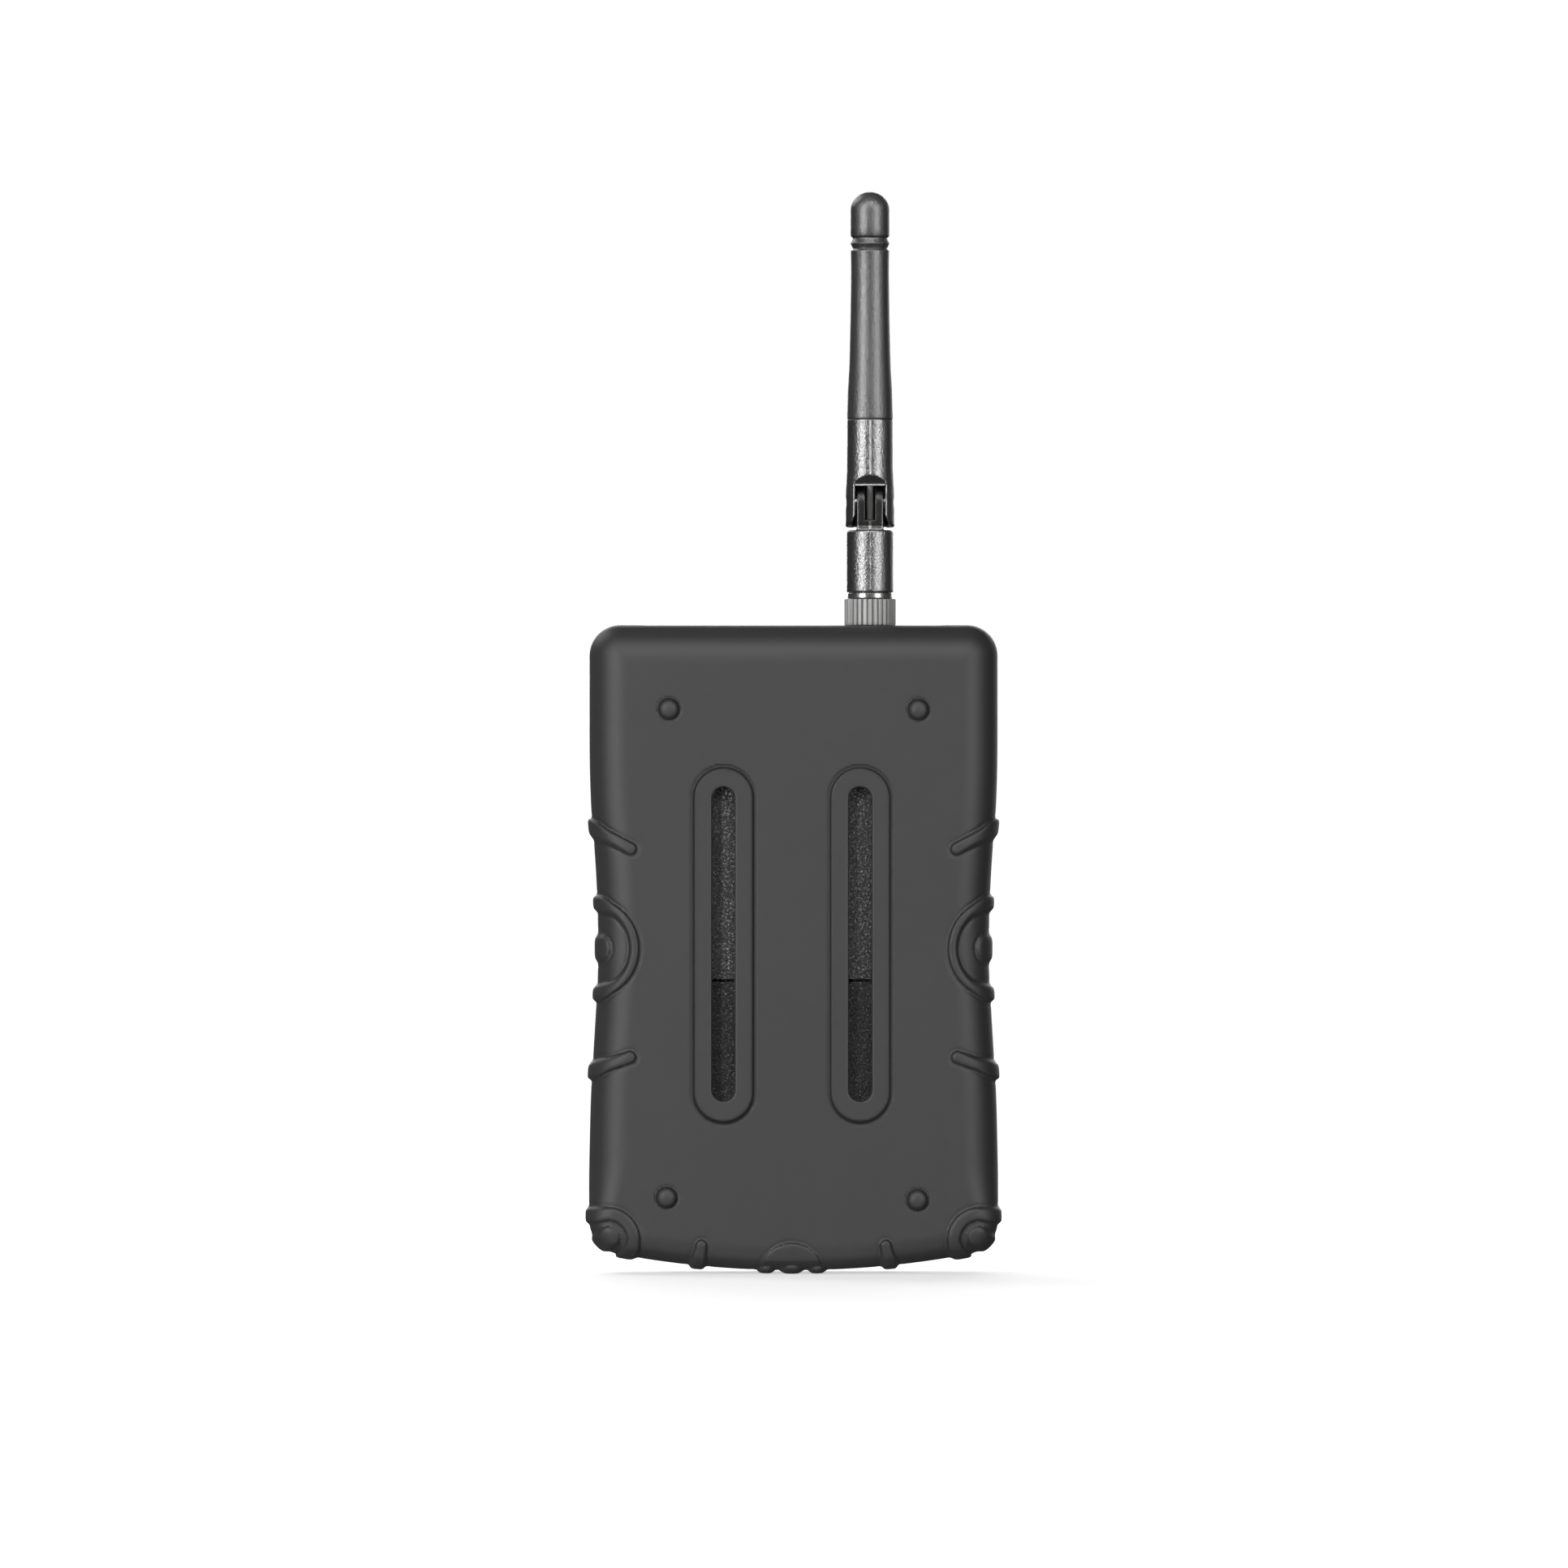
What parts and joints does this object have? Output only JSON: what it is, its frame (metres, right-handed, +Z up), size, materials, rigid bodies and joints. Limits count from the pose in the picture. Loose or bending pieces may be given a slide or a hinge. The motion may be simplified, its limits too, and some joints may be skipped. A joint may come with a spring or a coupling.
{
  "type": "bluetooth audio receiver",
  "caption": "Handheld bluetooth audio receiver: flat case with keys and battery door in a ribbed silicone boot, with a knurled screw-on antenna that swivels and tilts.",
  "frame": {"origin": "bottom centre of the whole receiver: the lowest point of the boot, on its middle plane and halfway through its depth", "axes": "+Z up towards the antenna tip, +Y out of the back (battery door side), -Y out of the front (key side), +X to the right seen from the front"},
  "size_m": [0.0884, 0.0344, 0.2296],
  "materials": {
    "boot_silicone": "matte moulded silicone, dark grey",
    "case_abs": "spark-textured black ABS",
    "door_abs": "spark-textured black ABS, slightly darker than the shell",
    "overlay_film": "fine matte polycarbonate film, dark grey",
    "key_rubber": "soft-touch moulded keys with light symbols",
    "antenna_plastic": "satin black moulded plastic",
    "radome_plastic": "satin black polyurethane",
    "nickel": "dull nickel plate",
    "nut_metal": "tumbled grey zinc-nickel, worn knurl",
    "gold": "gold flash over brass",
    "brass": "drawn brass",
    "steel": "zinc plated steel",
    "spring_steel": "nickel plated spring steel",
    "ptfe": "white PTFE",
    "pcb": "green solder mask",
    "module_pcb": "dark blue solder mask",
    "chip": "moulded epoxy",
    "passive": "ceramic",
    "capacitor": "aluminium can with sleeve",
    "led": "clear epoxy",
    "light_guide": "frosted clear polycarbonate",
    "switch": "black thermoplastic",
    "switch_plunger": "grey thermoplastic",
    "jack_plastic": "black thermoplastic",
    "cell_sleeve": "printed sleeve, plain bands",
    "foam": "closed cell foam",
    "wire_red": "PVC",
    "wire_black": "PVC",
    "coax_jacket": "fluoropolymer jacket"
  },
  "bodies": {
    "root": {"boot": "boot_silicone", "front_shell": "case_abs", "front_overlay": "overlay_film", "rear_shell": "case_abs", "battery_door": "door_abs", "door_foam": "foam", "case_screws": "steel", "pcb_screws": "steel", "main_pcb": "pcb", "bluetooth_module": "module_pcb", "module_shield_can": "nickel", "audio_codec": "chip", "control_chip": "chip", "power_regulator": "chip", "power_inductor": "chip", "audio_coupling_capacitors": "capacitor", "chip_passives": "passive", "crystal": "nickel", "status_leds": "led", "light_pipes": "light_guide", "tact_switch_bodies": "switch", "audio_jack": "jack_plastic", "audio_jack_contacts": "gold", "aa_cells": "cell_sleeve", "contact_springs": "spring_steel", "battery_contact_plates": "spring_steel", "lead_red": "wire_red", "lead_black": "wire_black", "antenna_socket": "nickel", "socket_insulator": "ptfe", "socket_contact": "gold", "board_rf_connector": "gold", "rf_pigtail": "coax_jacket"},
    "antenna_plug_body": {"antenna_plug": "nickel", "plug_insulator": "ptfe", "plug_pin": "gold", "swivel_clip": "spring_steel"},
    "nut_body": {"antenna_nut": "nut_metal"},
    "barrel_body": {"antenna_barrel": "antenna_plastic", "coax_lower": "coax_jacket"},
    "whip_body": {"antenna_yoke": "antenna_plastic", "tilt_pins": "steel", "coax_upper": "coax_jacket", "radome": "radome_plastic", "dipole_sleeve": "brass", "dipole_insulator": "ptfe", "dipole_core": "brass", "dipole_spacer": "ptfe"},
    "key_power_body": {"key_power": "key_rubber", "plunger_power": "switch_plunger"},
    "key_pair_body": {"key_pair": "key_rubber", "plunger_pair": "switch_plunger"},
    "key_volume_down_body": {"key_volume_down": "key_rubber", "plunger_volume_down": "switch_plunger"},
    "key_volume_up_body": {"key_volume_up": "key_rubber", "plunger_volume_up": "switch_plunger"}
  },
  "joints": [
    {"name": "antenna_lift", "type": "slide", "parent": "root", "child": "antenna_plug_body", "axis": [0, 0, 1], "range_m": [0, 0.00353]},
    {"name": "antenna_nut_turn", "type": "hinge", "parent": "antenna_plug_body", "child": "nut_body", "pos_m": [-0.01624, 0, 0.1403], "axis": [0, 0, 1], "range_deg": [0, 1800]},
    {"name": "antenna_swivel", "type": "hinge", "parent": "antenna_plug_body", "child": "barrel_body", "pos_m": [-0.01624, 0, 0.147], "axis": [0, 0, 1], "range_deg": [-180, 180]},
    {"name": "antenna_tilt", "type": "hinge", "parent": "barrel_body", "child": "whip_body", "pos_m": [-0.01624, 0, 0.16355], "axis": [-1, 0, 0], "range_deg": [0, 90]},
    {"name": "key_power_press", "type": "slide", "parent": "root", "child": "key_power_body", "axis": [0, 1, 0], "range_m": [0, 0.0005], "stiffness_N_per_m": 2500, "springref_m": -0.0002},
    {"name": "key_pair_press", "type": "slide", "parent": "root", "child": "key_pair_body", "axis": [0, 1, 0], "range_m": [0, 0.0005], "stiffness_N_per_m": 2500, "springref_m": -0.0002},
    {"name": "key_volume_down_press", "type": "slide", "parent": "root", "child": "key_volume_down_body", "axis": [0, 1, 0], "range_m": [0, 0.0005], "stiffness_N_per_m": 2500, "springref_m": -0.0002},
    {"name": "key_volume_up_press", "type": "slide", "parent": "root", "child": "key_volume_up_body", "axis": [0, 1, 0], "range_m": [0, 0.0005], "stiffness_N_per_m": 2500, "springref_m": -0.0002}
  ],
  "couplings": [
    {"joint": "antenna_nut_turn", "follows": "antenna_lift", "rad_per_m": 8904.7}
  ]
}
